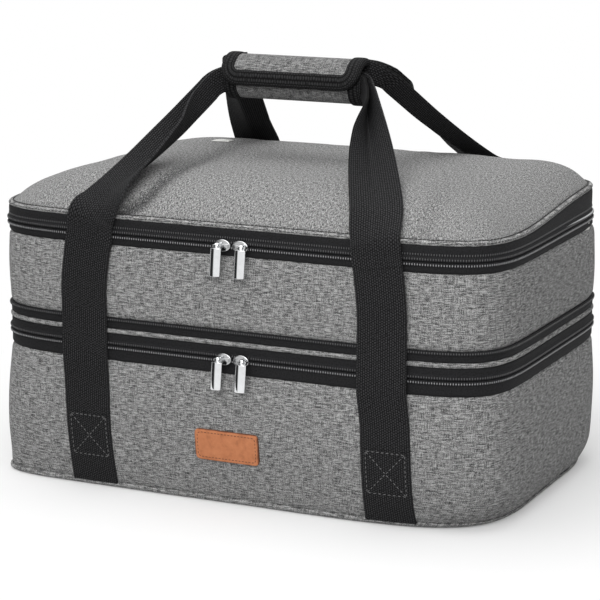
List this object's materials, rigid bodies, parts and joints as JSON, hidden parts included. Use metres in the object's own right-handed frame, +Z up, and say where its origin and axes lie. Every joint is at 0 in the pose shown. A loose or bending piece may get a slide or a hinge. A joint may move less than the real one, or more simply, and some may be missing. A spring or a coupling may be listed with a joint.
{
  "type": "casserole carrier",
  "caption": "Two-deck insulated casserole carrier in grey fabric with a hinged upper compartment, a zipped crowned lid and webbing loops that meet in a wrapped grip.",
  "frame": {"origin": "middle of the base's flat underside, on the surface that the carrier stands on", "axes": "+X along the length, towards the viewer's right from the front, +Y from front to back, +Z up"},
  "size_m": [0.4128, 0.2804, 0.3199],
  "materials": {
    "grey_fabric": "heathered woven polyester, matt",
    "black_webbing": "ribbed polypropylene webbing, matt",
    "zip_tape": "woven zip tape with a coil tooth row",
    "slider_chrome": "polished, with fine wear",
    "pull_chrome": "polished",
    "foil_lining": "smooth heat-sealed foil sheet",
    "white_foam": "closed-cell foam, matt",
    "stiff_board": "plain sheet",
    "tan_leather": "smooth grain with a burnished edge",
    "white_tape": "woven ribbon",
    "hook_and_loop": "hook and loop tape"
  },
  "bodies": {
    "lower_compartment": {"base_panel": "grey_fabric", "base_board": "stiff_board", "base_piping": "grey_fabric", "lower_wall": "grey_fabric", "lower_foam": "white_foam", "lower_lining": "foil_lining", "lower_zip_bottom_tape": "zip_tape", "lower_hinge_bottom_strip": "grey_fabric", "leather_patch": "tan_leather", "front_strap_left_sewn_end": "black_webbing", "front_strap_right_sewn_end": "black_webbing", "back_strap_left_sewn_end": "black_webbing", "back_strap_right_sewn_end": "black_webbing"},
    "upper_compartment": {"lower_zip_top_tape": "zip_tape", "lower_hinge_top_strip": "grey_fabric", "deck_panel": "foil_lining", "deck_board": "stiff_board", "upper_foam": "white_foam", "upper_lining": "foil_lining", "seam_strip": "grey_fabric", "expansion_zip_tape": "zip_tape", "upper_wall": "grey_fabric", "lid_zip_bottom_tape": "zip_tape", "lid_hinge_bottom_strip": "grey_fabric", "back_strap_left_riser": "black_webbing", "back_strap_right_riser": "black_webbing"},
    "lid": {"lid_zip_top_tape": "zip_tape", "lid_hinge_top_strip": "grey_fabric", "lid_panel": "grey_fabric", "lid_foam": "white_foam", "lid_lining": "foil_lining", "lid_welt": "grey_fabric", "lid_tab": "white_tape"},
    "front_risers": {"front_strap_left_riser": "black_webbing", "front_strap_right_riser": "black_webbing"},
    "front_loop": {"front_strap_left_leg": "black_webbing", "front_strap_right_leg": "black_webbing", "front_strap_grip_run": "black_webbing"},
    "back_loop": {"back_strap_left_leg": "black_webbing", "back_strap_right_leg": "black_webbing", "back_strap_grip_run": "black_webbing", "grip_pad": "grey_fabric", "grip_binding_left": "black_webbing", "grip_binding_right": "black_webbing", "grip_loop_strip": "hook_and_loop"},
    "flap": {"grip_flap": "grey_fabric", "flap_binding_left": "black_webbing", "flap_binding_right": "black_webbing", "flap_binding_edge": "black_webbing", "flap_hook_strip": "hook_and_loop"},
    "lower_left_slider": {"lower_zip_slider_left": "slider_chrome"},
    "lower_right_slider": {"lower_zip_slider_right": "slider_chrome"},
    "lid_left_slider": {"lid_zip_slider_left": "slider_chrome"},
    "lid_right_slider": {"lid_zip_slider_right": "slider_chrome"},
    "lower_left_pull": {"lower_zip_pull_left": "pull_chrome"},
    "lower_right_pull": {"lower_zip_pull_right": "pull_chrome"},
    "lid_left_pull": {"lid_zip_pull_left": "pull_chrome"},
    "lid_right_pull": {"lid_zip_pull_right": "pull_chrome"}
  },
  "joints": [
    {"name": "upper_hinge", "type": "hinge", "parent": "lower_compartment", "child": "upper_compartment", "pos_m": [0, 0.1362, 0.114], "axis": [-1, 0, 0], "range_deg": [0, 65]},
    {"name": "lid_hinge", "type": "hinge", "parent": "upper_compartment", "child": "lid", "pos_m": [0, 0.1362, 0.1978], "axis": [-1, 0, 0], "range_deg": [0, 105]},
    {"name": "front_riser_fold", "type": "hinge", "parent": "lower_compartment", "child": "front_risers", "pos_m": [0, -0.1331, 0.0601], "axis": [1, 0, 0], "range_deg": [0, 60], "deforming": ["front_strap_left_riser", "front_strap_right_riser"]},
    {"name": "front_loop_fold", "type": "hinge", "parent": "front_risers", "child": "front_loop", "pos_m": [0, -0.1352, 0.1978], "axis": [1, 0, 0], "range_deg": [0, 120], "deforming": ["front_strap_left_leg", "front_strap_right_leg", "front_strap_grip_run"]},
    {"name": "back_loop_fold", "type": "hinge", "parent": "upper_compartment", "child": "back_loop", "pos_m": [0, 0.1362, 0.1978], "axis": [-1, 0, 0], "range_deg": [0, 116], "deforming": ["back_strap_left_leg", "back_strap_right_leg"]},
    {"name": "flap_peel", "type": "hinge", "parent": "back_loop", "child": "flap", "pos_m": [0, 0.00865, 0.31683], "axis": [-1, 0, 0], "range_deg": [0, 110]},
    {"name": "lower_left_slide", "type": "slide", "parent": "lower_compartment", "child": "lower_left_slider", "axis": [1, 0, 0], "range_m": [-0.083, 0]},
    {"name": "lower_right_slide", "type": "slide", "parent": "lower_compartment", "child": "lower_right_slider", "axis": [1, 0, 0], "range_m": [0, 0.076]},
    {"name": "lid_left_slide", "type": "slide", "parent": "upper_compartment", "child": "lid_left_slider", "axis": [1, 0, 0], "range_m": [-0.083, 0]},
    {"name": "lid_right_slide", "type": "slide", "parent": "upper_compartment", "child": "lid_right_slider", "axis": [1, 0, 0], "range_m": [0, 0.076]},
    {"name": "lower_left_pull_swing", "type": "hinge", "parent": "lower_left_slider", "child": "lower_left_pull", "pos_m": [-0.0027, -0.1402, 0.114], "axis": [-1, 0, 0], "range_deg": [0, 150]},
    {"name": "lower_right_pull_swing", "type": "hinge", "parent": "lower_right_slider", "child": "lower_right_pull", "pos_m": [0.0167, -0.1402, 0.114], "axis": [-1, 0, 0], "range_deg": [0, 150]},
    {"name": "lid_left_pull_swing", "type": "hinge", "parent": "lid_left_slider", "child": "lid_left_pull", "pos_m": [-0.0027, -0.1402, 0.1978], "axis": [-1, 0, 0], "range_deg": [0, 150]},
    {"name": "lid_right_pull_swing", "type": "hinge", "parent": "lid_right_slider", "child": "lid_right_pull", "pos_m": [0.0167, -0.1402, 0.1978], "axis": [-1, 0, 0], "range_deg": [0, 150]}
  ],
  "couplings": [
    {"joint": "front_riser_fold", "follows": "upper_hinge", "ratio": 0.92},
    {"joint": "front_loop_fold", "follows": "lid_hinge", "ratio": 1.14},
    {"joint": "back_loop_fold", "follows": "lid_hinge", "ratio": 1.1}
  ]
}
